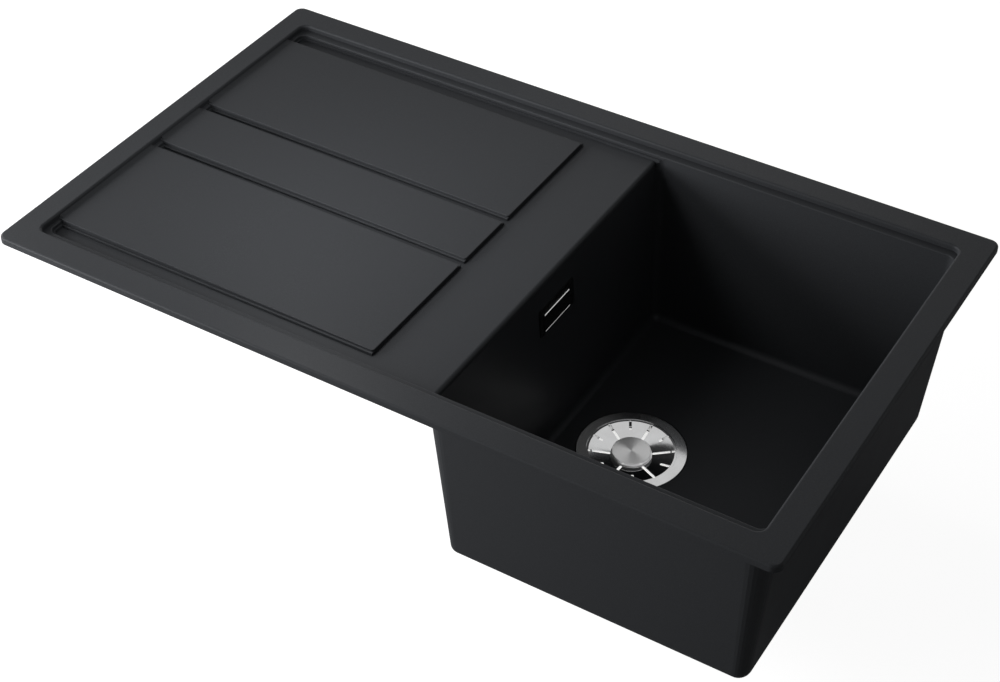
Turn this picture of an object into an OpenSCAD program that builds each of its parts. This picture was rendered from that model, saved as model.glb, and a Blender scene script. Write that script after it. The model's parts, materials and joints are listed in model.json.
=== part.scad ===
// Inset kitchen sink: one bowl on the right, ribbed drainer on the left.
// Origin: centre of the worktop cut-out, in the plane of the worktop.
// X runs from the drainer to the bowl, Y from the front to the back, Z up.

/* [Rim] */
// Overall length of the sink
sink_length = 860; // [780:1:960]
// Overall width of the sink, front to back
sink_width = 515; // [480:1:560]
// Height of the rim above the worktop
rim_thickness = 7.5; // [6:0.1:10]
// Flat width of the rim at the front, the back and the bowl end
rim_width = 30.5; // [26:0.5:36]
// Flat width of the rim at the drainer end
rim_width_left = 28; // [24:0.5:34]
// Corner radius of the rim in plan
rim_corner = 10; // [6:0.5:16]
// Rounding of the rim's top edges
rim_round = 2.5; // [1:0.1:3]
// Corner radius of the recess in plan
recess_corner = 9; // [6:0.5:14]

/* [Ledge] */
// Depth of the ledge below the rim
ledge_depth = 6.3; // [5:0.1:8]
// Width of the ledge at the front and the back
ledge_width = 9.4; // [7:0.1:14]
// Width of the ledge at the drainer end
ledge_width_left = 4.5; // [3:0.1:7]
// Inner corner radius of the ledge
ledge_corner = 8; // [6:0.5:10]
// Rounding of the ledge's inner edge
ledge_round = 1.5; // [0.5:0.1:2]

/* [Drainer] */
// Depth of the low shelf that runs beside the ledge and the ribs
shelf_depth = 9.8; // [8.6:0.1:11]
// Width of the low shelf
shelf_width = 2.4; // [1:0.1:3]
// Depth of the drainer's floor below the rim
tray_depth = 12.65; // [12:0.05:15]
// Depth of the raised panels below the rim at the drainer end
panel_high_depth = 5.05; // [4:0.05:6]
// Depth of the raised panels below the rim at the bowl end
panel_low_depth = 8.05; // [6.5:0.05:8.4]
// Distance from the raised panels to the bowl
apron_width = 81; // [60:0.5:120]
// Gap between the ledge and the first raised panel
panel_margin = 19.9; // [12:0.1:30]
// Gap between two raised panels
panel_gap = 11.3; // [7:0.1:16]
// Width of the middle panel
middle_panel_width = 70.4; // [50:0.1:110]
// Corner radius of a raised panel in plan
panel_corner = 2.6; // [2.6:0.1:6]
// Rounding of the raised panels' top edges
panel_round = 0.8; // [0.5:0.1:1.2]
// Rounding of the low shelves' edges
shelf_round = 0.7; // [0.3:0.1:0.9]
// Reach of the hollow that runs from the drainer's end wall into the panels
hollow_reach = 8; // [5:0.5:12]
// Thickness of the casting below the drainer's floor
shell = 9; // [7:0.5:12]
// Inset of the casting's underside from the rim's edge
deck_inset = 24; // [20:0.5:25]
// Rounding of the underside's edges
deck_round = 4; // [2:0.5:6]

/* [Bowl] */
// Length of the bowl's mouth along the sink
bowl_length = 334.5; // [300:0.5:380]
// Depth of the bowl's floor below the rim
bowl_depth = 211; // [160:0.5:230]
// Draft of the bowl's walls, in degrees
bowl_draft = 4.1; // [2:0.1:5]
// Inner corner and floor radius of the bowl
bowl_radius = 9; // [7:0.5:16]
// Rounding of the bowl's edge beside the drainer
bowl_lip = 4.5; // [3:0.5:8]
// Wall thickness at the front and the back
bowl_wall = 9.7; // [8:0.1:12]
// Wall thickness at the bowl end of the sink
bowl_wall_right = 11; // [8:0.5:12]
// Wall thickness beside the drainer, where the overflow is let in
bowl_wall_left = 11.8; // [10:0.1:14]
// Further lean of the outer wall beside the drainer, over its height
bowl_lean = 3; // [0:0.1:4]
// Thickness of the floor
bowl_floor = 10.6; // [9:0.1:14]
// Outer corner radius of the bowl at the rim
bowl_outer_top = 22; // [18:1:28]
// Outer corner radius of the bowl at the floor
bowl_outer_foot = 14; // [10:0.5:18]
// The same beside the drainer
bowl_outer_foot_left = 11; // [10:0.5:18]

/* [Waste] */
// Distance from the bowl's inner left edge to the waste's axis
waste_reach = 97; // [90:0.5:160]
// Radius of the hole in the floor
waste_hole_r = 45; // [44.5:0.1:46]
// Outer radius of the steel flange
flange_r = 57.6; // [56:0.1:60]
// Height of the flange above the floor
flange_lip = 0.2; // [0.1:0.1:0.8]
// Thickness of the pressed steel
steel = 1.2; // [0.8:0.1:1.5]
// Inner radius of the flange's shoulder, which carries the strainer
shoulder_r = 45.8; // [45:0.1:46.2]
// Depth of the steel cup below the floor
cup_depth = 40; // [36:0.5:46]
// Inner radius of the steel cup
cup_r = 42.5; // [41:0.1:43]
// Radius of the outlet in the cup's bottom
outlet_r = 27; // [24:0.5:28]
// Thickness of the seals above and below the floor
seal_thickness = 1.5; // [1:0.1:2]
// Wall of the moulded waste body
waste_wall = 3; // [2.4:0.1:4]
// Depth of the waste body's chamber below the floor
chamber_depth = 52; // [49:0.5:58]
// Radius of the outlet's thread, for a 1 1/2 inch trap nut
tail_r = 23.9; // [23.5:0.1:24.5]
// Length of the threaded tail
tail_length = 30; // [24:1:40]

/* [Strainer] */
// Radius of the strainer dish
dish_r = 46.9; // [46.5:0.1:47]
// Radius of the dish's flat middle
dish_flat_r = 21.5; // [21:0.1:23]
// Fall of the dish from its rim to its middle
dish_fall = 4; // [3:0.1:6]
// Number of slots in the dish
slot_count = 12; // [8:2:16]
// Width of a slot
slot_width = 3; // [2:0.1:3.5]
// Outer end of every slot, from the axis
slot_outer_r = 45.3; // [43:0.1:45.5]
// Inner end of a long slot, from the axis
slot_long_r = 21.5; // [21:0.1:26]
// Inner end of a short slot, from the axis
slot_short_r = 33.5; // [30:0.1:38]
// Radius of the knob
knob_r = 20.2; // [18:0.1:20.4]
// Height of the knob above the dish's middle
knob_height = 4.6; // [4.4:0.1:8]
// Radius of the knob's stem
stem_r = 4; // [3:0.1:5]
// Travel of the plug when the knob is pulled
plug_travel = 8; // [5:0.5:8]
// Radius of the plug's rubber ring
plug_seal_r = 30.5; // [30:0.1:33]

/* [Overflow] */
// Width of the overflow plate
overflow_width = 66.5; // [60:0.5:72]
// Height of the overflow plate
overflow_height = 32.3; // [30:0.1:36]
// Depth of the plate's centre below the rim
overflow_depth = 58.8; // [54:0.1:70]
// Width of the cover
cover_width = 53; // [48:0.5:54]
// Height of the cover
cover_height = 17.4; // [16:0.1:17.6]
// Gap above and below the cover
cover_gap = 2.2; // [2:0.1:2.3]
// Distance of the cover's centre below the plate's centre
cover_drop = 3.2; // [2:0.1:3.4]
// Radius of the two bright bars in the gaps
bar_r = 0.9; // [0.6:0.1:0.9]
// Outer radius of the overflow pipe
pipe_r = 12.5; // [11:0.1:13]
// Wall of the overflow pipe
pipe_wall = 2; // [1.5:0.1:2.5]
// Distance from the bowl's outer wall to the pipe's axis
pipe_stand_off = 22.5; // [22:0.5:30]
// Radius of the pipe's bend
bend_r = 30; // [24:1:36]
// Depth of the pipe's inlet into the waste body, below the floor
inlet_depth = 38; // [37:0.5:40]

/* [Fixing] */
// Width of the foam strip under the rim
foam_width = 7; // [4:0.5:8]
// Depth of the foam strip's groove
foam_depth = 2; // [1:0.1:2.5]
// Distance from the rim's edge to the foam strip
foam_inset = 2; // [1:0.5:4]
// Length of a fixing clip's arm
clip_arm = 44; // [36:1:48]
// Width of a fixing clip
clip_width = 16; // [12:0.5:20]
// Thickness of a fixing clip
clip_strap = 2; // [1.5:0.1:3]
// Length of a clip's post below the drainer
clip_post = 20; // [14:0.5:28]
// Radius of a clip's post
clip_post_r = 9; // [8:0.5:12]
// Radius of a clip's screw
clip_screw_r = 3; // [2.5:0.1:4]

/* [Hidden] */

// Fineness of true circles and of the corners of faceted forms
$fn = 64;
corner_fn = 32;

// Clearances, and the overrun of every cut
over = 1;
fit_gap = 0.3;
running_gap = 0.05;
thread_gap = 0.1;

// Heights of the casting
rim_z = rim_thickness;
ledge_z = rim_z - ledge_depth;
shelf_z = rim_z - shelf_depth;
tray_z = rim_z - tray_depth;
deck_z = tray_z - shell;
floor_z = rim_z - bowl_depth;
foot_z = floor_z - bowl_floor;
draft_slope = tan(bowl_draft);

// The recess inside the rim, and the ledge's inner edge
recess_x0 = -sink_length / 2 + rim_width_left;
recess_x1 = sink_length / 2 - rim_width;
recess_y = sink_width / 2 - rim_width;
ledge_x0 = recess_x0 + ledge_width_left;
ledge_y = recess_y - ledge_width;

// The bowl's mouth at the height of the ledge
bowl_x1 = recess_x1;
bowl_x0 = bowl_x1 - bowl_length;
outer_x0 = bowl_x0 - bowl_wall_left;

// The raised panels: reach from the drainer's end wall, fall, and places front to back
panel_x1 = bowl_x0 - apron_width;
panel_fall = (panel_low_depth - panel_high_depth) / (panel_x1 - recess_x0);
panel_high_z = rim_z - panel_high_depth;
side_panel_width = ledge_y - panel_margin - panel_gap - middle_panel_width / 2;
side_panel_y = ledge_y - panel_margin - side_panel_width / 2;
panels = [
    [-side_panel_y, side_panel_width],
    [0, middle_panel_width],
    [side_panel_y, side_panel_width]];
hollow_steps = 8;
hollow_foot = 0.2;

// The waste: heights are below the bowl's floor
waste_x = bowl_x0 + waste_reach;
dish_inset = 0.6;
press_bevel = 0.4;
shoulder_z = flange_lip - dish_inset - steel;
lip_inner_r = dish_r + fit_gap;
seat_depth = -shoulder_z + steel + seal_thickness;
seat_r = flange_r + over;
throat_share = 0.3;
throat_z = -seat_depth - throat_share * (bowl_floor - seat_depth);
throat_r = shoulder_r + 2 * steel + over;
boss_height = 4;
boss_rim = 9;
boss_r = flange_r + boss_rim;
boss_z = -bowl_floor - boss_height;
floor_seal_t = 2 * seal_thickness;
body_gap = 2.8;
waste_body_r = cup_r + steel + body_gap;
body_outer_r = waste_body_r + waste_wall;
body_top_z = boss_z - floor_seal_t;
body_low_z = -chamber_depth - waste_wall;
collar_r = body_outer_r + waste_wall / 2;
collar_top_z = body_low_z + waste_wall;
body_rim = 12;
body_rim_r = waste_body_r + body_rim;
funnel_z = -chamber_depth - waste_body_r / 4;
tail_z = funnel_z - tail_length;
hub_r = 10;
spoke = 5;
clamp_r = 3;
clamp_head_r = 6;
clamp_head_t = 3;
insert_wall = 1.5;
insert_length = 12;
spigot_wall = 2;

// The strainer and the plug below it
dish_rim_z = shoulder_z + steel;
dish_low_z = dish_rim_z - dish_fall;
bush_r = 2 * stem_r;
bush_collar = 2.4;
bush_collar_r = bush_r + bush_collar;
bush_length = 8;
bush_low_z = dish_low_z - bush_length;
bush_nut_t = 3.2;
sieve_t = 1.2;
sieve_drop = 1.6;
sieve_top_z = dish_low_z - steel - sieve_drop;
sieve_low_z = sieve_top_z - sieve_t;
sieve_r = cup_r - sieve_t - fit_gap;
window_width = 2.4;
window_r0 = 22;
window_r1 = 37;
knob_wall = 1.5;
knob_top_z = dish_low_z + knob_height;
knob_skirt_z = dish_low_z + fit_gap;
knob_roof_z = knob_top_z - knob_wall;
plug_rest = 1.2;
plug_low_z = -cup_depth + plug_rest;
plug_ring = 3.5;
plug_ring_inner_r = outlet_r - plug_ring;
plug_disc = 3.2;
plug_disc_z = plug_low_z + plug_ring;
plug_lap = 1.8;
plug_disc_r = plug_seal_r - plug_lap;
plug_nut_t = 4;
plug_top_z = bush_low_z - plug_travel - fit_gap - plug_nut_t;

// The overflow, on the bowl's left wall
overflow_z = rim_z - overflow_depth;
overflow_x = bowl_x0 + (ledge_z - overflow_z) * draft_slope;
wall_t = (bowl_wall_left + ledge_z * draft_slope) * cos(bowl_draft);
wall_pad = 1.5;
plate_t = 5;
plate_proud = 1;
plate_back_t = 1.2;
plate_rim = 5;
plate_corner = 2;
plate_floor = plate_proud - plate_t + plate_back_t;
cover_t = 1.8;
cover_proud = 0.8;
peg_r = 1;
screw_y = cover_width / 2 - plate_rim;
screw_r = 2.5;
screw_head_r = 3.5;
screw_head_t = 0.6;
screw_land = 5;
port_w = 2 * (screw_y - screw_land);
port_h = cover_height - plate_rim;
opening_w = cover_width + 2 * fit_gap;
opening_h = cover_height + 2 * cover_gap;
bar_y = cover_width / 2 - plate_corner;
bar_z = (cover_height + cover_gap) / 2;
gasket_t = 2;
housing_wall = 2.4;
housing_corner = 14;
housing_h = overflow_height + housing_wall;
housing_back = wall_t + wall_pad + gasket_t;
pipe_x = outer_x0 - pipe_stand_off;
socket_r = pipe_r + fit_gap;
socket_wall = 3;
socket_outer_r = socket_r + socket_wall;
socket_length = 18;
socket_z = overflow_z - housing_h / 2 - socket_length;
nut_wall = 4.5;
nut_r = socket_outer_r + nut_wall;
nut_rib = 1.5;
nut_ribs = 12;
nut_length = 16;
washer_t = 2.5;
inlet_z = floor_z - inlet_depth;
spigot_r = pipe_r - pipe_wall + spigot_wall;
inlet_x = waste_x - boss_r - nut_length;
housing_depth = (overflow_x - pipe_x) / cos(bowl_draft) - housing_back + socket_outer_r + housing_wall;

// The fixing clips: places of their posts, and the strap's details
clip_inset = deck_inset + clip_post_r + clip_width;
clip_y = sink_width / 2 - clip_inset;
clip_x0 = -sink_length / 2 + clip_inset + clip_arm;
clip_x1 = outer_x0 - clip_arm - clip_width / 2;
clip_seat_z = deck_z - clip_post;
clip_z = clip_seat_z - fit_gap - clip_strap;
clip_washer_z = clip_z - fit_gap - clip_strap;
toe_height = 6;
tooth_r = 2;
clip_head_r = 6;
clip_head_t = 4;

// A rectangle with round corners, centred
module round_rect(size_x, size_y, r) {
    square([size_x - 2 * r, size_y], center = true);
    square([size_x, size_y - 2 * r], center = true);
    for (sx = [-1, 1], sy = [-1, 1])
        translate([sx * (size_x / 2 - r), sy * (size_y / 2 - r)]) circle(r);
}

// A rectangle from z0 to z1 with round top corners, centred on its width
module round_top(width, z0, z1, r) {
    translate([-width / 2, z0]) square([width, z1 - z0 - r]);
    translate([-width / 2 + r, z0]) square([width - 2 * r, z1 - z0]);
    for (s = [-1, 1])
        translate([s * (width / 2 - r), z1 - r]) circle(r);
}

// Half of a pad's section, outwards from its corner axis, with a round top edge
module pad_edge(r, z0, z1, round_r) {
    translate([0, z0]) square([r, z1 - z0 - round_r]);
    translate([0, z0]) square([r - round_r, z1 - z0]);
    translate([r - round_r, z1 - round_r]) intersection() {
        circle(round_r);
        square(round_r);
    }
}

// Half of a pocket's section, outwards from its corner axis, with a rounded mouth
module mouth_edge(r, z0, z1, round_r) {
    translate([0, z0]) square([r, z1 - z0 + over]);
    difference() {
        translate([0, z1 - round_r]) square([r + round_r, round_r + over]);
        translate([r + round_r, z1 - round_r]) circle(round_r);
    }
}

// Carries a half section all round a rectangle with round corners
module swept(size_x, size_y, r, z0, z1) {
    mid_x = size_x / 2 - r;
    mid_y = size_y / 2 - r;
    translate([-mid_x, -mid_y, z0]) cube([2 * mid_x, 2 * mid_y, z1 - z0]);
    for (sx = [0, 1], sy = [0, 1])
        mirror([sx, 0, 0]) mirror([0, sy, 0])
            translate([mid_x, mid_y, 0]) rotate_extrude(angle = 90) children();
    for (s = [0, 1])
        mirror([0, s, 0]) translate([-mid_x, mid_y, 0])
            rotate([90, 0, 90]) linear_extrude(2 * mid_x) children();
    for (s = [0, 1])
        mirror([s, 0, 0]) translate([mid_x, mid_y, 0])
            rotate([90, 0, 0]) linear_extrude(2 * mid_y) children();
}

// A block between two corners, with round corners in plan
module slab(x0, x1, y0, y1, z0, z1, r) {
    translate([(x0 + x1) / 2, (y0 + y1) / 2, z0])
        linear_extrude(z1 - z0) round_rect(x1 - x0, y1 - y0, r);
}

module tube(outer_r, inner_r, z0, z1) {
    translate([0, 0, z0]) difference() {
        cylinder(r = outer_r, h = z1 - z0);
        translate([0, 0, -over]) cylinder(r = inner_r, h = z1 - z0 + 2 * over);
    }
}

// A drafted bowl with round corners and a round foot, whose left wall may lean further
module bowl_form(x0, x1, y, top_z, low_z, top_r, foot_r, left_r, lean) {
    feet = [[x0 + lean, left_r, 1], [x1, foot_r, -1]];
    hull() {
        for (x = [x0 + top_r, x1 - top_r], sy = [-1, 1])
            translate([x, sy * (y - top_r), top_z]) cylinder(r = top_r, h = over, $fn = corner_fn);
        for (f = feet, sy = [-1, 1]) {
            inset = (top_z - low_z - f[1]) * draft_slope + f[1];
            translate([f[0] + f[2] * inset, sy * (y - inset), low_z + f[1]])
                sphere(r = f[1], $fn = corner_fn);
        }
    }
}

// One raised panel: a falling top, and a low step along both of its sides
module raised_panel(width) {
    tail = 2 * panel_corner;
    run = panel_x1 - recess_x0 + tail;
    step_z = tray_z - over;
    translate([recess_x0, 0, panel_high_z]) rotate([0, atan(panel_fall), 0])
        translate([run / 2 - tail, 0, 0])
            swept(run, width, panel_corner, step_z - panel_high_z, 0)
                pad_edge(panel_corner, step_z - panel_high_z, 0, panel_round);
    translate([recess_x0 - tail, 0, 0]) rotate([90, 0, 90]) linear_extrude(run)
        round_top(width + 2 * shelf_width, step_z, shelf_z, shelf_round);
    wall_hollow(width - 2 * panel_corner);
}

// The soft hollow where a raised panel meets the drainer's end wall
module wall_hollow(width) {
    low_z = panel_high_z - hollow_foot;
    rise = panel_high_depth - rim_round + hollow_foot;
    steps = [for (i = [0 : hollow_steps]) 90 * i / hollow_steps];
    curve = [for (t = steps) [recess_x0 + hollow_reach * (1 - sin(t)), low_z + rise * (1 - cos(t))]];
    rotate([90, 0, 0]) translate([0, 0, -width / 2]) linear_extrude(width)
        polygon(concat(
            [[recess_x0 - over, low_z - over], [recess_x0 + hollow_reach, low_z - over]],
            curve, [[recess_x0 - over, low_z + rise]]));
}

// Everything open above the casting: recess, drainer and bowl
module open_top() {
    mouth_x1 = bowl_x1 - ledge_round;
    drain_x1 = bowl_x0 + bowl_lip;
    difference() {
        union() {
            translate([(recess_x0 + recess_x1) / 2, 0, 0])
                swept(recess_x1 - recess_x0, 2 * recess_y, recess_corner, ledge_z, rim_z + over)
                    mouth_edge(recess_corner, ledge_z, rim_z, rim_round);
            translate([(ledge_x0 + mouth_x1) / 2, 0, 0])
                swept(mouth_x1 - ledge_x0, 2 * ledge_y, ledge_corner, ledge_z - ledge_round, ledge_z + over)
                    mouth_edge(ledge_corner, ledge_z - ledge_round, ledge_z, ledge_round);
            slab(ledge_x0, drain_x1 + ledge_corner, -ledge_y, ledge_y, shelf_z, ledge_z, ledge_corner);
            slab(ledge_x0 + shelf_width, drain_x1 + ledge_corner, -ledge_y + shelf_width,
                ledge_y - shelf_width, tray_z, ledge_z, ledge_corner - shelf_width);
            bowl_form(bowl_x0, bowl_x1, ledge_y, ledge_z, floor_z,
                bowl_radius, bowl_radius, bowl_radius, 0);
            bowl_edge();
        }
        for (p = panels)
            translate([0, p[0], 0]) raised_panel(p[1]);
    }
}

// Rounds the edge where the drainer's floor runs into the bowl
module bowl_edge() {
    run = 2 * (ledge_y - shelf_width);
    edge_x = bowl_x0 + (ledge_z - tray_z) * draft_slope;
    translate([edge_x - bowl_lip, run / 2, tray_z - bowl_lip]) rotate([90, 0, 0])
        difference() {
            cube([bowl_lip + over, bowl_lip + over, run]);
            translate([0, 0, -over]) cylinder(r = bowl_lip, h = run + 2 * over);
        }
}

// Seat, cone and hole for the waste, from the bowl's floor down
module waste_hole() {
    translate([waste_x, 0, floor_z]) {
        translate([0, 0, -seat_depth]) cylinder(r = seat_r, h = seat_depth + over);
        translate([0, 0, throat_z]) cylinder(r1 = waste_hole_r, r2 = throat_r, h = -seat_depth - throat_z);
        translate([0, 0, boss_z - over]) cylinder(r = waste_hole_r, h = over - boss_z);
    }
}

// Places a piece on the bowl's left wall: X out of the wall, Z up along it
module on_wall() {
    translate([overflow_x, 0, overflow_z]) rotate([0, -bowl_draft, 0]) children();
}

// A block on the wall between two distances from its surface
module wall_block(x0, x1, width, height, r) {
    translate([x0, 0, 0]) rotate([90, 0, 90]) linear_extrude(x1 - x0) round_rect(width, height, r);
}

// The cover's centre is a little below the plate's centre
module at_cover() {
    translate([0, 0, -cover_drop]) children();
}

module each_screw(x0, x1, r) {
    at_cover() for (s = [-1, 1])
        translate([x0, s * screw_y, 0]) rotate([0, 90, 0]) cylinder(r = r, h = x1 - x0);
}

module each_clip() {
    for (x = [clip_x0, clip_x1], sy = [-1, 1])
        translate([x, sy * clip_y, 0]) children();
}

// The ring that the foam strip fills
module foam_ring(height) {
    inner = foam_inset + foam_width;
    corner = rim_corner - foam_inset;
    linear_extrude(height) difference() {
        round_rect(sink_length - 2 * foam_inset, sink_width - 2 * foam_inset, corner);
        round_rect(sink_length - 2 * inner, sink_width - 2 * inner, corner);
    }
}

module sink_body() {
    deck_x = sink_length - 2 * deck_inset;
    deck_y = sink_width - 2 * deck_inset;
    color("#3c3e41") difference() {
        union() {
            swept(sink_length, sink_width, rim_corner, 0, rim_z) pad_edge(rim_corner, 0, rim_z, rim_round);
            mirror([0, 0, 1]) swept(deck_x, deck_y, recess_corner, -over, -deck_z)
                pad_edge(recess_corner, -over, -deck_z, deck_round);
            bowl_form(outer_x0, bowl_x1 + bowl_wall_right, ledge_y + bowl_wall,
                0, foot_z, bowl_outer_top, bowl_outer_foot, bowl_outer_foot_left, bowl_lean);
            on_wall() wall_block(-wall_t - wall_pad, -plate_t, overflow_width, housing_h, plate_corner);
            translate([waste_x, 0, floor_z + boss_z]) cylinder(r = boss_r, h = boss_height + over);
            each_clip() translate([0, 0, clip_seat_z]) cylinder(r = clip_post_r, h = clip_post + over);
        }
        open_top();
        waste_hole();
        on_wall() {
            wall_block(plate_proud - plate_t, plate_proud + over, overflow_width + 2 * fit_gap,
                overflow_height + 2 * fit_gap, plate_corner + fit_gap);
            at_cover() wall_block(-wall_t - wall_pad - over, over, cover_width, cover_height, plate_corner);
        }
        translate([0, 0, -over]) foam_ring(foam_depth + over);
        each_clip() translate([0, 0, clip_seat_z - over])
            cylinder(r = clip_screw_r + insert_wall, h = insert_length + over);
        for (p = panels)
            slab(recess_x0 + shell, panel_x1 - shell, p[0] - p[1] / 2 + shell, p[0] + p[1] / 2 - shell,
                deck_z - over, rim_z - panel_low_depth - shell, recess_corner);
    }
}

module rim_seal() {
    color("#202020") foam_ring(foam_depth);
}

// Flat flange, shoulder and cup: one pressing of steel, with a spoked outlet
module strainer_flange() {
    lip_low_z = shoulder_z - steel;
    color("silver") translate([waste_x, 0, floor_z]) difference() {
        rotate_extrude() polygon([
            [flange_r, flange_lip - press_bevel], [flange_r - press_bevel, flange_lip],
            [lip_inner_r, flange_lip], [lip_inner_r, shoulder_z],
            [shoulder_r, shoulder_z], [cup_r, throat_z], [cup_r, -cup_depth],
            [0, -cup_depth], [0, -cup_depth - steel], [cup_r + steel, -cup_depth - steel],
            [cup_r + steel, throat_z - steel / 2], [shoulder_r + steel / 2, lip_low_z],
            [lip_inner_r + steel, lip_low_z], [lip_inner_r + steel, flange_lip - steel],
            [flange_r - steel, flange_lip - steel], [flange_r - steel, lip_low_z],
            [flange_r, lip_low_z]]);
        outlet_cut();
        translate([0, 0, -cup_depth - steel - over]) cylinder(r = clamp_r + fit_gap, h = steel + 2 * over);
    }
}

// The outlet's openings round a hub, with spokes between them
module outlet_cut() {
    height = steel + 2 * over;
    translate([0, 0, -cup_depth - steel - over]) difference() {
        cylinder(r = outlet_r, h = height);
        translate([0, 0, -over]) cylinder(r = hub_r, h = height + 2 * over);
        for (a = [0, 90])
            rotate([0, 0, a]) translate([-outlet_r - over, -spoke / 2, -over])
                cube([2 * outlet_r + 2 * over, spoke, height + 2 * over]);
    }
}

module flange_seal() {
    color("#1c1c1c") translate([waste_x, 0, floor_z])
        tube(flange_r - fit_gap, lip_inner_r, -seat_depth, shoulder_z - steel);
}

module floor_seal() {
    color("#1c1c1c") translate([waste_x, 0, floor_z]) tube(body_rim_r, waste_body_r, body_top_z, boss_z);
}

// Moulded chamber under the floor: rim, wall, and a hub on two crossed webs
module waste_body() {
    hub_z = -cup_depth - steel;
    web_z = -chamber_depth + waste_wall;
    color("#e8e8e6") translate([waste_x, 0, floor_z]) difference() {
        union() {
            tube(body_outer_r, waste_body_r, body_low_z, body_top_z);
            tube(body_rim_r, waste_body_r, body_top_z - waste_wall, body_top_z);
            translate([0, 0, body_low_z]) cylinder(r = hub_r, h = hub_z - body_low_z);
            intersection() {
                translate([0, 0, body_low_z]) cylinder(r = waste_body_r + over, h = web_z - body_low_z);
                for (a = [0, 90])
                    rotate([0, 0, a]) translate([-waste_body_r - over, -waste_wall / 2, body_low_z])
                        cube([2 * waste_body_r + 2 * over, waste_wall, web_z - body_low_z]);
            }
        }
        translate([0, 0, hub_z - insert_length])
            cylinder(r = clamp_r + insert_wall, h = insert_length + over);
        translate([-body_outer_r - over, 0, -inlet_depth]) rotate([0, 90, 0])
            cylinder(r = spigot_r, h = 2 * waste_wall + over);
    }
}

// Socket for the overflow pipe: its saddle and spigot are bonded to the chamber's wall
module waste_inlet() {
    low_x = inlet_x - waste_x;
    color("#e8e8e6") translate([waste_x, 0, floor_z]) difference() {
        union() {
            difference() {
                translate([low_x, 0, -inlet_depth]) rotate([0, 90, 0])
                    cylinder(r = socket_outer_r, h = -waste_body_r - low_x);
                translate([0, 0, -inlet_depth - 2 * socket_outer_r])
                    cylinder(r = body_outer_r, h = 4 * socket_outer_r);
                translate([0, 0, collar_top_z - 2 * socket_outer_r])
                    cylinder(r = collar_r + running_gap, h = 2 * socket_outer_r + running_gap);
            }
            translate([-body_outer_r - socket_wall, 0, -inlet_depth]) rotate([0, 90, 0])
                cylinder(r = spigot_r, h = socket_wall + waste_wall);
        }
        translate([low_x - over, 0, -inlet_depth]) rotate([0, 90, 0]) {
            cylinder(r = socket_r, h = socket_length + over);
            cylinder(r = pipe_r - pipe_wall, h = -waste_body_r - low_x + 2 * over);
        }
    }
}

// Cone and threaded tail: its collar is bonded round the chamber's foot
module waste_outlet() {
    tail_bore = tail_r - waste_wall;
    color("#e8e8e6") translate([waste_x, 0, floor_z]) rotate_extrude() polygon([
        [waste_body_r, body_low_z], [body_outer_r, body_low_z],
        [body_outer_r, collar_top_z], [collar_r, collar_top_z],
        [collar_r, body_low_z - waste_wall / 2], [tail_r, funnel_z - waste_wall], [tail_r, tail_z],
        [tail_bore, tail_z], [tail_bore, funnel_z]]);
}

module clamp_screw() {
    shank = steel + insert_length - over;
    color("silver") translate([waste_x, 0, floor_z - cup_depth]) {
        cylinder(r = clamp_head_r, h = clamp_head_t);
        translate([0, 0, -shank]) cylinder(r = clamp_r - thread_gap, h = shank + over);
    }
}

module clamp_insert() {
    color("goldenrod") translate([waste_x, 0, floor_z - cup_depth - steel - insert_length])
        tube(clamp_r + insert_wall, clamp_r, 0, insert_length);
}

// The strainer dish: flat rim, gentle cone and flat middle, with radial slots
module basket_dish() {
    cone_r = shoulder_r - steel;
    color("silver") translate([waste_x, 0, floor_z]) difference() {
        rotate_extrude() polygon([
            [bush_r, dish_low_z], [dish_flat_r, dish_low_z], [cone_r, dish_rim_z],
            [dish_r, dish_rim_z], [dish_r, shoulder_z], [cone_r, shoulder_z],
            [dish_flat_r, dish_low_z - steel], [bush_r, dish_low_z - steel]]);
        for (i = [0 : slot_count - 1])
            rotate([0, 0, 360 / slot_count * i]) drain_slot(i % 2 == 0 ? slot_short_r : slot_long_r);
    }
}

module drain_slot(inner_r) {
    r = slot_width / 2;
    translate([0, 0, dish_low_z - steel - over]) linear_extrude(dish_fall + steel + 2 * over) {
        for (x = [inner_r + r, slot_outer_r - r])
            translate([x, 0]) circle(r);
        translate([inner_r + r, -r]) square([slot_outer_r - inner_r - 2 * r, 2 * r]);
    }
}

// Light moulded sieve under the dish, with windows between the slots
module basket_sieve() {
    color("#e8e8e6") translate([waste_x, 0, floor_z]) {
        tube(bush_collar_r, bush_r, sieve_low_z, dish_low_z - steel);
        difference() {
            tube(sieve_r, bush_r, sieve_low_z, sieve_top_z);
            for (i = [0 : slot_count - 1])
                rotate([0, 0, 360 / slot_count * (i + 1 / 2)])
                    translate([window_r0, -window_width / 2, sieve_low_z - over])
                        cube([window_r1 - window_r0, window_width, sieve_t + 2 * over]);
        }
    }
}

module guide_bush() {
    bore_r = stem_r + running_gap;
    color("#303030") translate([waste_x, 0, floor_z]) {
        tube(bush_r - running_gap, bore_r, bush_low_z, dish_low_z);
        tube(bush_collar_r, bore_r, dish_low_z, dish_low_z + steel);
    }
}

module bush_nut() {
    color("silver") translate([waste_x, 0, floor_z + sieve_low_z - bush_nut_t])
        difference() {
            cylinder(r = bush_collar_r, h = bush_nut_t, $fn = 6);
            translate([0, 0, -over]) cylinder(r = bush_r, h = bush_nut_t + 2 * over);
        }
}

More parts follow.
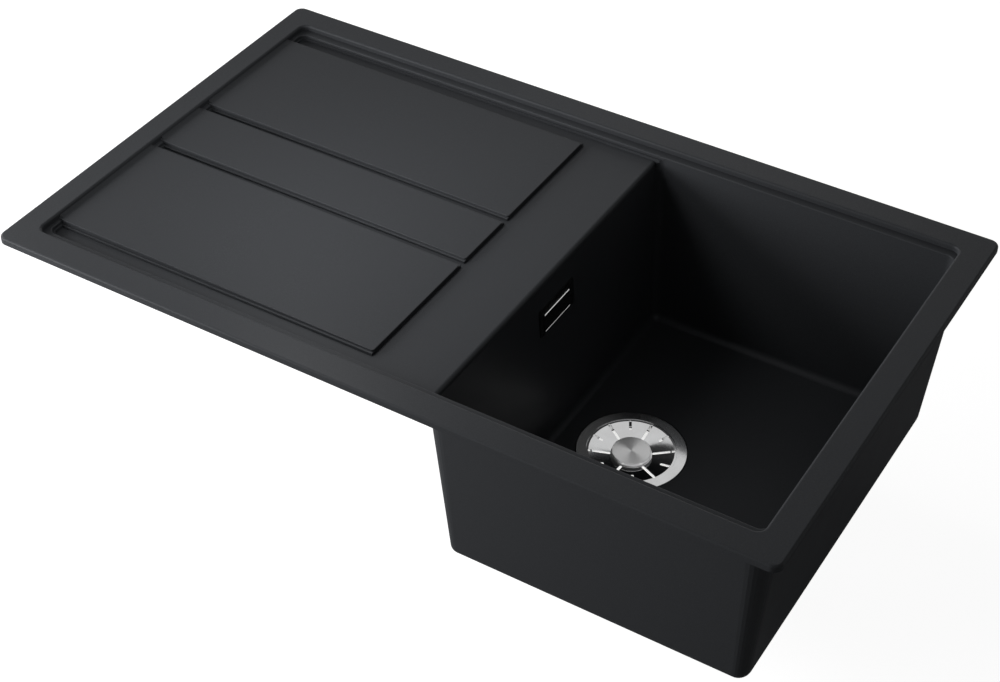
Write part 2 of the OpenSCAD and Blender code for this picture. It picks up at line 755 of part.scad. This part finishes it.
// A turned knob, hollow underneath, with a socket for the stem
module knob() {
    hub_z = dish_low_z + steel + fit_gap;
    color("silver") translate([waste_x, 0, floor_z]) rotate_extrude() difference() {
        pad_edge(knob_r, knob_skirt_z, knob_top_z, press_bevel);
        translate([bush_collar_r, knob_skirt_z - over])
            square([knob_r - knob_wall - bush_collar_r, knob_roof_z - knob_skirt_z + over]);
        translate([0, knob_skirt_z - over]) square([bush_collar_r + over, hub_z - knob_skirt_z + over]);
        translate([0, knob_skirt_z]) square([stem_r, knob_roof_z - knob_skirt_z]);
    }
}

module stem() {
    color("silver") translate([waste_x, 0, floor_z + plug_disc_z])
        cylinder(r = stem_r, h = knob_roof_z - plug_disc_z);
}

module plug_plate() {
    color("#303030") translate([waste_x, 0, floor_z]) {
        tube(plug_disc_r, stem_r, plug_disc_z, plug_disc_z + plug_disc);
        tube(bush_r, stem_r, plug_disc_z + plug_disc, plug_top_z);
    }
}

module plug_nut() {
    color("silver") translate([waste_x, 0, floor_z + plug_top_z]) difference() {
        cylinder(r = bush_r, h = plug_nut_t, $fn = 6);
        translate([0, 0, -over]) cylinder(r = stem_r, h = plug_nut_t + 2 * over);
    }
}

module plug_seal() {
    color("#1c1c1c") translate([waste_x, 0, floor_z])
        tube(plug_seal_r, plug_ring_inner_r, plug_low_z, plug_disc_z);
}

// Frame let into the wall round the cover
module overflow_frame() {
    color("#161616") on_wall() difference() {
        wall_block(plate_floor, plate_proud, overflow_width, overflow_height, plate_corner);
        at_cover() wall_block(plate_floor - over, plate_proud + over, opening_w, opening_h, plate_corner);
    }
}

// Back plate behind frame and cover, with the port and the screw holes
module overflow_plate() {
    color("#161616") on_wall() difference() {
        wall_block(plate_proud - plate_t, plate_floor, overflow_width, overflow_height, plate_corner);
        at_cover() wall_block(-plate_t - over, over, port_w, port_h, plate_corner);
        each_screw(-plate_t - over, over, screw_r + thread_gap);
    }
}

// Cover that stands off the back plate on four pegs
module overflow_cover() {
    face_x = plate_proud + cover_proud;
    color("#161616") on_wall() at_cover() {
        wall_block(face_x - cover_t, face_x, cover_width, cover_height, plate_corner / 2);
        for (sy = [-1, 1], sz = [-1, 1])
            translate([plate_floor, sy * screw_y, sz * (cover_height / 2 - plate_corner)])
                rotate([0, 90, 0]) cylinder(r = peg_r, h = face_x - cover_t / 2 - plate_floor);
    }
}

// Two bright round bars, one in each gap, on pegs from the back plate
module overflow_bars() {
    color("silver") on_wall() at_cover() for (s = [-1, 1])
        translate([plate_proud, 0, s * bar_z]) {
            rotate([90, 0, 0]) cylinder(r = bar_r, h = 2 * (bar_y - bar_r), center = true);
            for (sy = [-1, 1]) {
                translate([0, sy * (bar_y - bar_r), 0]) sphere(r = bar_r);
                translate([plate_floor - plate_proud, sy * screw_y / 2, 0]) rotate([0, 90, 0])
                    cylinder(r = bar_r / 2, h = plate_proud - plate_floor);
            }
        }
}

module overflow_gasket() {
    color("#1c1c1c") on_wall() difference() {
        wall_block(-housing_back, -wall_t - wall_pad, overflow_width, housing_h, plate_corner);
        at_cover() wall_block(-housing_back - over, -wall_t, cover_width, cover_height, plate_corner);
    }
}

// Moulded box behind the wall, with posts for the screws and a socket underneath
module overflow_housing() {
    far_x = -housing_back - housing_depth;
    half_w = cover_width / 2;
    half_h = housing_h / 2 - housing_wall;
    color("#e8e8e6") difference() {
        union() {
            on_wall() {
                wall_block(-housing_back - housing_wall, -housing_back,
                    overflow_width, housing_h, plate_corner);
                slab(far_x, -housing_back - housing_wall / 2, -half_w - housing_wall, half_w + housing_wall,
                    -housing_h / 2, housing_h / 2, housing_corner);
                slab(far_x + 2 * housing_corner, -housing_back - housing_wall / 2, -half_w - housing_wall,
                    half_w + housing_wall, -housing_h / 2, housing_h / 2, plate_corner / 2);
            }
            translate([pipe_x, 0, socket_z]) cylinder(r = socket_outer_r, h = socket_length + housing_h / 4);
        }
        on_wall() difference() {
            union() {
                slab(far_x + housing_wall, -housing_back - housing_wall, -half_w, half_w, -half_h, half_h,
                    housing_corner - housing_wall);
                slab(far_x + 2 * housing_corner, -housing_back + over, -half_w, half_w, -half_h, half_h,
                    plate_corner / 2);
            }
            each_screw(far_x, -housing_back, screw_r + housing_wall);
        }
        on_wall() each_screw(far_x + housing_wall, -housing_back + over, screw_r);
        translate([pipe_x, 0, socket_z - over]) {
            cylinder(r = socket_r, h = socket_length + over);
            cylinder(r = pipe_r - pipe_wall, h = socket_length + housing_h / 2);
        }
    }
}

module overflow_screws() {
    tip_x = -housing_back - housing_depth / 2;
    color("silver") on_wall() {
        each_screw(tip_x, plate_floor, screw_r);
        each_screw(plate_floor, plate_floor + screw_head_t, screw_head_r);
    }
}

// Rigid pipe: down from the housing, one bend, then along to the waste body
module overflow_pipe() {
    inner_r = pipe_r - pipe_wall;
    low_z = inlet_z + bend_r;
    color("#e8e8e6") {
        translate([pipe_x, 0, 0]) tube(pipe_r, inner_r, low_z, socket_z + socket_length - fit_gap);
        translate([pipe_x + bend_r, 0, low_z]) rotate([90, 0, 0]) rotate([0, 0, 180])
            rotate_extrude(angle = 90) translate([bend_r, 0]) difference() {
                circle(pipe_r);
                circle(inner_r);
            }
        translate([0, 0, inlet_z]) rotate([0, 90, 0])
            tube(pipe_r, inner_r, pipe_x + bend_r, inlet_x + socket_length - fit_gap);
    }
}

// Union nut with finger ribs, closed at one end round the pipe
module union_nut() {
    difference() {
        union() {
            cylinder(r = nut_r - nut_rib, h = nut_length);
            for (i = [0 : nut_ribs - 1])
                rotate([0, 0, 360 / nut_ribs * i]) translate([nut_r - 2 * nut_rib, -nut_rib, 0])
                    cube([2 * nut_rib, 2 * nut_rib, nut_length]);
        }
        translate([0, 0, -over]) cylinder(r = socket_r, h = nut_length + 2 * over);
        translate([0, 0, socket_wall]) cylinder(r = socket_outer_r + thread_gap, h = nut_length);
    }
}

module pipe_washer() {
    tube(socket_outer_r, pipe_r + running_gap, 0, washer_t);
}

module pipe_nut_upper() {
    color("#d8d8d4") translate([pipe_x, 0, socket_z - washer_t - socket_wall]) union_nut();
}

module pipe_washer_upper() {
    color("#1c1c1c") translate([pipe_x, 0, socket_z - washer_t]) pipe_washer();
}

module pipe_nut_lower() {
    color("#d8d8d4") translate([inlet_x - washer_t - socket_wall, 0, inlet_z]) rotate([0, 90, 0]) union_nut();
}

module pipe_washer_lower() {
    color("#1c1c1c") translate([inlet_x - washer_t, 0, inlet_z]) rotate([0, 90, 0]) pipe_washer();
}

// A bent steel strap that turns on its screw, with two teeth on its toe
module clip(x, y, heading) {
    toe_x = clip_arm - clip_strap;
    color("silver") translate([x, y, clip_z]) rotate([0, 0, heading]) difference() {
        union() {
            linear_extrude(clip_strap) {
                circle(clip_width / 2);
                translate([0, -clip_width / 2]) square([clip_arm, clip_width]);
            }
            translate([toe_x, -clip_width / 2, 0]) cube([clip_strap, clip_width, toe_height]);
            for (s = [-1, 1])
                translate([toe_x, s * clip_width / 4, toe_height]) rotate([0, 90, 0])
                    cylinder(r = tooth_r, h = clip_strap, $fn = 4);
        }
        translate([0, 0, -over])
            cylinder(r = clip_screw_r - thread_gap + running_gap, h = clip_strap + 2 * over);
    }
}

module clip_front_left() {
    clip(clip_x0, -clip_y, 0);
}

module clip_front_right() {
    clip(clip_x1, -clip_y, 180);
}

module clip_back_left() {
    clip(clip_x0, clip_y, 0);
}

module clip_back_right() {
    clip(clip_x1, clip_y, 180);
}

module clip_screws() {
    color("silver") each_clip() {
        translate([0, 0, clip_washer_z - clip_head_t]) cylinder(r = clip_head_r, h = clip_head_t, $fn = 6);
        translate([0, 0, clip_washer_z - clip_head_t / 2])
            cylinder(r = clip_screw_r - thread_gap, h = clip_seat_z + insert_length - over - clip_washer_z);
    }
}

module clip_inserts() {
    color("goldenrod") each_clip()
        tube(clip_screw_r + insert_wall, clip_screw_r, clip_seat_z, clip_seat_z + insert_length);
}

module clip_washers() {
    color("silver") each_clip()
        tube(clip_width / 2, clip_screw_r, clip_washer_z, clip_washer_z + clip_strap);
}

sink_body();
rim_seal();
overflow_frame();
overflow_cover();
overflow_bars();
overflow_plate();
overflow_gasket();
overflow_housing();
overflow_screws();
overflow_pipe();
pipe_nut_upper();
pipe_nut_lower();
pipe_washer_upper();
pipe_washer_lower();
strainer_flange();
flange_seal();
floor_seal();
waste_body();
waste_inlet();
waste_outlet();
clamp_screw();
clamp_insert();
basket_dish();
basket_sieve();
guide_bush();
bush_nut();
knob();
stem();
plug_plate();
plug_nut();
plug_seal();
clip_front_left();
clip_front_right();
clip_back_left();
clip_back_right();
clip_screws();
clip_inserts();
clip_washers();
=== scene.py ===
import json
import math
import bpy
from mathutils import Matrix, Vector


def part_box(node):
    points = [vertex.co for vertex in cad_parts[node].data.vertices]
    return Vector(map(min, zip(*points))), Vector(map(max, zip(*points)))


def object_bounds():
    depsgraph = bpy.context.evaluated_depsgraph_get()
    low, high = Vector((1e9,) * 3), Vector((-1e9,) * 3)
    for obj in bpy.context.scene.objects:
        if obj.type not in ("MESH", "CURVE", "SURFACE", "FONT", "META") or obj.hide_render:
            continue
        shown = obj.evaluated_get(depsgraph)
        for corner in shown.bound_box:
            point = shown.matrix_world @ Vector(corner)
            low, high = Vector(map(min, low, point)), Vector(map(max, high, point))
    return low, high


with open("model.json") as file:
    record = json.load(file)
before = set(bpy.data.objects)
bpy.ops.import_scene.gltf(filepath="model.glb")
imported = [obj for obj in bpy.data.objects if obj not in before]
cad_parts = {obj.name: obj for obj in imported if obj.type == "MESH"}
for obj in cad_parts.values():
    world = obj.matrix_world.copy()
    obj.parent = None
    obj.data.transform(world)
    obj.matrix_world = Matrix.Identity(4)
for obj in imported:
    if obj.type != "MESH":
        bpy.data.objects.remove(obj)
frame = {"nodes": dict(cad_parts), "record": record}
cad_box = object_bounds()
nodes = frame["nodes"]
scene = bpy.context.scene

# Lengths are in metres. A texture's scale is the number of its features in a metre.
WHITE = (1.0, 1.0, 1.0)

# ---------------------------------------------------------------- materials
# The dark casting: the tones of its grain by their place on the ramp, and its cool cast
CAST_TONES = [(0.30, 0.034), (0.55, 0.040), (0.74, 0.050)]
CAST_TINT = (0.935, 0.985, 1.075)
CAST_GRAIN = {"scale": 1400.0, "detail": 2.0, "rough": 0.6}
CAST_GRAIN_BUMP = {"strength": 0.25, "distance": 0.0002}
CAST_PITS_SCALE = 900.0
CAST_PITS_BUMP = {"strength": 0.12, "distance": 0.0002}
CAST_CLOUDS_SCALE = 22.0
CAST_ROUGHNESS = (0.40, 0.46)
CAST_SPECULAR = 0.08

# Where the dark and the light tone lie on the ramp of every other material
TONE_PLACES = (0.3, 0.7)

PLASTIC_CLOUDS_SCALE = 60.0
PLASTIC_GRAIN = {"scale": 900.0, "detail": 2.0}
PLASTIC_BUMP = {"strength": 0.15, "distance": 0.0002}
PLASTIC_SPREAD = 0.05

RUBBER_PLACES = (0.35, 0.65)
RUBBER_GRAIN = {"detail": 4.0, "rough": 0.7}
RUBBER_BUMP = {"strength": 0.3, "distance": 0.0003}
RUBBER_ROUGHNESS = (0.75, 0.9)
SEAL_GRAIN_SCALE = 1200.0
FOAM_GRAIN_SCALE = 800.0

STEEL_CLOUDS_SCALE = 45.0
STEEL_GRAIN_SCALE = 300.0
STEEL_BUMP = {"strength": 0.04, "distance": 0.0001}
STEEL_ROUGHNESS_SHARES = (0.85, 1.15)

TURNED_TONES = (0.84, 0.97)
TURNED_RINGS = {"Scale": 2600.0, "Detail": 4.0}
TURNED_BUMP = {"strength": 0.2, "distance": 0.0001}
TURNED_ROUGHNESS = (0.30, 0.40)
TURNED_ANISOTROPY = 0.85

# The milky plastic seen through the strainer's slots: its tones, its roughness and the strength of
# its painted glow, an emission though the part is no lamp
GLOWING_CLOUDS_SCALE = 80.0
GLOWING_GRAIN_SCALE = 500.0
GLOWING_ROUGHNESS = (0.35, 0.5)
PAINTED_GLOW = 0.7


class Shader:
    """A material with a Principled shader and a few helpers for its nodes."""

    def __init__(self, name):
        self.mat = bpy.data.materials.new(name)
        self.mat.use_nodes = True
        self.tree = self.mat.node_tree
        self.bsdf = self.tree.nodes["Principled BSDF"]
        self.coords = self.tree.nodes.new("ShaderNodeTexCoord").outputs["Object"]

    def node(self, kind, links=None, **values):
        n = self.tree.nodes.new(kind)
        for key, value in values.items():
            if key in n.inputs:
                n.inputs[key].default_value = value
            else:
                setattr(n, key, value)
        for key, source in (links or {}).items():
            self.tree.links.new(source, n.inputs[key])
        return n

    def noise(self, scale, detail=3.0, rough=0.5):
        n = self.node("ShaderNodeTexNoise", {"Vector": self.coords},
                      Scale=scale, Detail=detail, Roughness=rough)
        return n.outputs["Fac"]

    def pits(self, scale):
        n = self.node("ShaderNodeTexVoronoi", {"Vector": self.coords}, Scale=scale)
        return n.outputs["Distance"]

    def ramp(self, fac, stops):
        n = self.node("ShaderNodeValToRGB", {"Fac": fac})
        while len(n.color_ramp.elements) < len(stops):
            n.color_ramp.elements.new(0.5)
        for element, (place, color) in zip(n.color_ramp.elements, stops):
            element.position = place
            element.color = (*color, 1.0)
        return n.outputs["Color"]

    def two_tones(self, fac, dark, light, places=TONE_PLACES):
        return self.ramp(fac, list(zip(places, (dark, light))))

    def remap(self, fac, low, high):
        n = self.node("ShaderNodeMapRange", {"Value": fac})
        n.inputs["To Min"].default_value = low
        n.inputs["To Max"].default_value = high
        return n.outputs["Result"]

    def bump(self, height, strength, distance, under=None):
        links = {"Height": height}
        if under is not None:
            links["Normal"] = under
        n = self.node("ShaderNodeBump", links, Strength=strength, Distance=distance)
        return n.outputs["Normal"]

    def set(self, links=None, **values):
        for key, value in values.items():
            self.bsdf.inputs[key.replace("_", " ")].default_value = value
        for key, source in (links or {}).items():
            self.tree.links.new(source, self.bsdf.inputs[key])
        return self.mat


def grey(level, tint=WHITE):
    return tuple(level * t for t in tint)


def composite():
    """Matt stone composite: a fine dark grain with scattered mineral grains."""
    s = Shader("composite")
    grain = s.noise(**CAST_GRAIN)
    clouds = s.noise(CAST_CLOUDS_SCALE)
    fine = s.bump(grain, **CAST_GRAIN_BUMP)
    return s.set({
        "Base Color": s.ramp(grain, [(place, grey(tone, CAST_TINT)) for place, tone in CAST_TONES]),
        "Roughness": s.remap(clouds, *CAST_ROUGHNESS),
        "Normal": s.bump(s.pits(CAST_PITS_SCALE), under=fine, **CAST_PITS_BUMP),
    }, Specular_IOR_Level=CAST_SPECULAR)


def plastic(name, dark, light, rough):
    s = Shader(name)
    grain = s.noise(**PLASTIC_GRAIN)
    return s.set({
        "Base Color": s.two_tones(s.noise(PLASTIC_CLOUDS_SCALE), dark, light),
        "Roughness": s.remap(grain, rough - PLASTIC_SPREAD, rough + PLASTIC_SPREAD),
        "Normal": s.bump(grain, **PLASTIC_BUMP),
    })


def rubber(name, dark, light, scale):
    s = Shader(name)
    grain = s.noise(scale, **RUBBER_GRAIN)
    return s.set({
        "Base Color": s.two_tones(grain, dark, light, RUBBER_PLACES),
        "Roughness": s.remap(grain, *RUBBER_ROUGHNESS),
        "Normal": s.bump(grain, **RUBBER_BUMP),
    })


def steel(name, dark, light, rough):
    s = Shader(name)
    grain = s.noise(STEEL_GRAIN_SCALE)
    return s.set({
        "Base Color": s.two_tones(s.noise(STEEL_CLOUDS_SCALE), dark, light),
        "Roughness": s.remap(grain, *(rough * share for share in STEEL_ROUGHNESS_SHARES)),
        "Normal": s.bump(grain, **STEEL_BUMP),
    }, Metallic=1.0)


def turned(name, centre):
    """Steel with fine rings round a vertical axis."""
    s = Shader(name)
    shift = s.node("ShaderNodeVectorMath", {0: s.coords}, operation="SUBTRACT")
    shift.inputs[1].default_value = centre
    flat = s.node("ShaderNodeVectorMath", {0: shift.outputs[0]}, operation="MULTIPLY")
    flat.inputs[1].default_value = (1.0, 1.0, 0.0)
    radius = s.node("ShaderNodeVectorMath", {0: flat.outputs[0]}, operation="LENGTH")
    rings = s.node("ShaderNodeTexNoise", {"W": radius.outputs["Value"]},
                   noise_dimensions="1D", **TURNED_RINGS).outputs["Fac"]
    around = s.node("ShaderNodeTangent", direction_type="RADIAL", axis="Z")
    return s.set({
        "Base Color": s.two_tones(rings, *(grey(tone) for tone in TURNED_TONES)),
        "Roughness": s.remap(rings, *TURNED_ROUGHNESS),
        "Normal": s.bump(rings, **TURNED_BUMP),
        "Tangent": around.outputs["Tangent"],
    }, Metallic=1.0, Anisotropic=TURNED_ANISOTROPY)


def glowing_plastic(name, dark, light):
    """Milky plastic with a painted glow: it emits light in its own tone, though it is no lamp, so it
    shows bright through the strainer's slots.
    """
    s = Shader(name)
    tone = s.two_tones(s.noise(GLOWING_CLOUDS_SCALE), dark, light)
    return s.set({
        "Base Color": tone,
        "Emission Color": tone,
        "Roughness": s.remap(s.noise(GLOWING_GRAIN_SCALE), *GLOWING_ROUGHNESS),
    }, Emission_Strength=PAINTED_GLOW)


knob_low, knob_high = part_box("knob")
axis_point = ((knob_low[0] + knob_high[0]) / 2, (knob_low[1] + knob_high[1]) / 2, 0.0)

# Each look by its slot in the record: its dark tone, its light tone and how rough it is
looks = {
    "composite": composite(),
    "foam": rubber("foam", grey(0.012), grey(0.022), FOAM_GRAIN_SCALE),
    "black_plastic": plastic("black_plastic", grey(0.006), grey(0.008), 0.28),
    "dark_plastic": plastic("dark_plastic", grey(0.014), grey(0.02), 0.45),
    "white_plastic": plastic("white_plastic", (0.70, 0.70, 0.68), (0.76, 0.76, 0.74), 0.42),
    # The light plastic under the strainer gets a painted glow, an emission though it is no lamp
    "light_plastic": glowing_plastic("light_plastic", (0.82, 0.82, 0.81), (0.88, 0.88, 0.87)),
    "seal": rubber("seal", grey(0.010), grey(0.016), SEAL_GRAIN_SCALE),
    "polished_steel": steel("polished_steel", grey(0.70), (0.76, 0.765, 0.77), 0.09),
    "turned_steel": turned("turned_steel", axis_point),
    "plated_steel": steel("plated_steel", (0.50, 0.50, 0.47), (0.62, 0.62, 0.59), 0.36),
    "brass": steel("brass", (0.60, 0.42, 0.18), (0.72, 0.52, 0.25), 0.32),
}
# The bars of the overflow get a lighter and less sharp copy of the polished steel: the lighter tone
# is a painted highlight that stands in for the bright reflection along the bars
look_of_node = {"overflow_bars": steel("bar_steel", grey(0.80), grey(0.86), 0.20)}
slot_of = {part["node"]: part["material_slot"] for part in frame["record"]["subparts"]}
for name, obj in nodes.items():
    obj.data.materials.clear()
    obj.data.materials.append(look_of_node.get(name, looks[slot_of[name]]))


# ---------------------------------------------------------------- stage
FLOOR_HALF = 12.0
FLOOR_DROP = 0.001
FLOOR_TONE = 0.35
FLOOR_GLOW = 0.92
# Glossy rays see the glow of the floor from the first distance on, and all of it past the second;
# nearer the object the glow is held back, a painted shade in reflections
GLOW_FADE = (0.9, 2.4)
SKY_LIGHT = 0.09
SKY_SHOWN = 0.72

# Soft square lamps that look at the object's middle: degrees round it, degrees above it,
# distance and power
LAMPS = {
    "left": (170.0, 17.0, 2.4, 24.0),
    "back": (105.0, 14.0, 2.4, 5.0),
    "front_left": (220.0, 12.0, 1.4, 18.0),
    "front": (250.0, 14.0, 1.5, 2.5),
    "above": (207.0, 55.0, 0.38, 0.9),
}
LAMP_SIZE_SHARE = 0.4


def math_node(tree, operation, first, second):
    n = tree.nodes.new("ShaderNodeMath")
    n.operation = operation
    tree.links.new(first, n.inputs[0])
    tree.links.new(second, n.inputs[1])
    return n.outputs[0]


def shown_to(tree, plain, seen, glossy=None):
    """Shows one shader to the camera and to glossy and transmitted rays, and another to the rest."""
    path = tree.nodes.new("ShaderNodeLightPath")
    shown = path.outputs["Is Camera Ray"]
    for ray in (glossy or path.outputs["Is Glossy Ray"], path.outputs["Is Transmission Ray"]):
        shown = math_node(tree, "MAXIMUM", shown, ray)
    pick = tree.nodes.new("ShaderNodeMixShader")
    tree.links.new(shown, pick.inputs[0])
    tree.links.new(plain.outputs[0], pick.inputs[1])
    tree.links.new(seen.outputs[0], pick.inputs[2])
    return pick


def far_glossy(tree):
    """Glossy rays see the bright backdrop far off, but close to the object the plain floor with its
    own shade: the glow fades out towards the object as a painted shade in reflections.
    """
    path = tree.nodes.new("ShaderNodeLightPath")
    coords = tree.nodes.new("ShaderNodeTexCoord")
    away = tree.nodes.new("ShaderNodeVectorMath")
    away.operation = "LENGTH"
    tree.links.new(coords.outputs["Object"], away.inputs[0])
    fade = tree.nodes.new("ShaderNodeMapRange")
    fade.interpolation_type = "SMOOTHSTEP"
    fade.inputs["From Min"].default_value, fade.inputs["From Max"].default_value = GLOW_FADE
    tree.links.new(away.outputs["Value"], fade.inputs["Value"])
    return math_node(tree, "MULTIPLY", fade.outputs["Result"], path.outputs["Is Glossy Ray"])


def ground(z):
    """A pale floor that takes the object's shadow and glows to the camera alone."""
    r = FLOOR_HALF
    mesh = bpy.data.meshes.new("ground")
    mesh.from_pydata([(-r, -r, z), (r, -r, z), (r, r, z), (-r, r, z)], [], [(0, 1, 2, 3)])
    obj = bpy.data.objects.new("ground", mesh)
    scene.collection.objects.link(obj)
    mat = bpy.data.materials.new("ground")
    mat.use_nodes = True
    tree = mat.node_tree
    tree.nodes.clear()
    out = tree.nodes.new("ShaderNodeOutputMaterial")
    plain = tree.nodes.new("ShaderNodeBsdfDiffuse")
    plain.inputs["Color"].default_value = (*grey(FLOOR_TONE), 1.0)
    glow = tree.nodes.new("ShaderNodeEmission")
    glow.inputs["Strength"].default_value = FLOOR_GLOW
    seen = tree.nodes.new("ShaderNodeAddShader")
    tree.links.new(plain.outputs[0], seen.inputs[0])
    tree.links.new(glow.outputs[0], seen.inputs[1])
    pick = shown_to(tree, plain, seen, far_glossy(tree))
    tree.links.new(pick.outputs[0], out.inputs["Surface"])
    obj.data.materials.append(mat)


def sky(light, shown):
    """An even white sky that lights the object at one level and shows at another."""
    world = bpy.data.worlds.new("studio")
    scene.world = world
    world.use_nodes = True
    tree = world.node_tree
    plain = tree.nodes["Background"]
    seen = tree.nodes.new("ShaderNodeBackground")
    for background, strength in ((plain, light), (seen, shown)):
        background.inputs["Color"].default_value = (*WHITE, 1.0)
        background.inputs["Strength"].default_value = strength
    pick = shown_to(tree, plain, seen)
    tree.links.new(pick.outputs[0], tree.nodes["World Output"].inputs["Surface"])


def lamp(name, around, above, distance, power):
    data = bpy.data.lights.new(name, "AREA")
    data.shape = "SQUARE"
    data.size = LAMP_SIZE_SHARE * distance
    data.energy = power
    turn, lift = math.radians(around), math.radians(above)
    out = Vector((math.cos(turn) * math.cos(lift), math.sin(turn) * math.cos(lift), math.sin(lift)))
    obj = bpy.data.objects.new(name, data)
    obj.location = out * distance
    obj.visible_camera = False
    obj.rotation_euler = (-out).to_track_quat("-Z", "Y").to_euler()
    scene.collection.objects.link(obj)


ground(cad_box[0][2] - FLOOR_DROP)
sky(SKY_LIGHT, SKY_SHOWN)
for name, place_and_power in LAMPS.items():
    lamp(name, *place_and_power)

scene.view_settings.view_transform = "Standard"

# ---------------------------------------------------------------- camera
CAMERA_PLACE = (0.79938, -1.30178, 1.19364)
CAMERA_TILT = 49.158
CAMERA_TURN = 31.474
CAMERA_LENS_MM = 69.757
CAMERA_SENSOR_MM = 36.0
CAMERA_CLIP_START = 0.05

cam = bpy.data.cameras.new("camera")
cam.sensor_width = CAMERA_SENSOR_MM
cam.lens = CAMERA_LENS_MM
cam.clip_start = CAMERA_CLIP_START
cam_obj = bpy.data.objects.new("camera", cam)
cam_obj.location = CAMERA_PLACE
cam_obj.rotation_euler = (math.radians(CAMERA_TILT), 0.0, math.radians(CAMERA_TURN))
scene.collection.objects.link(cam_obj)
scene.camera = cam_obj
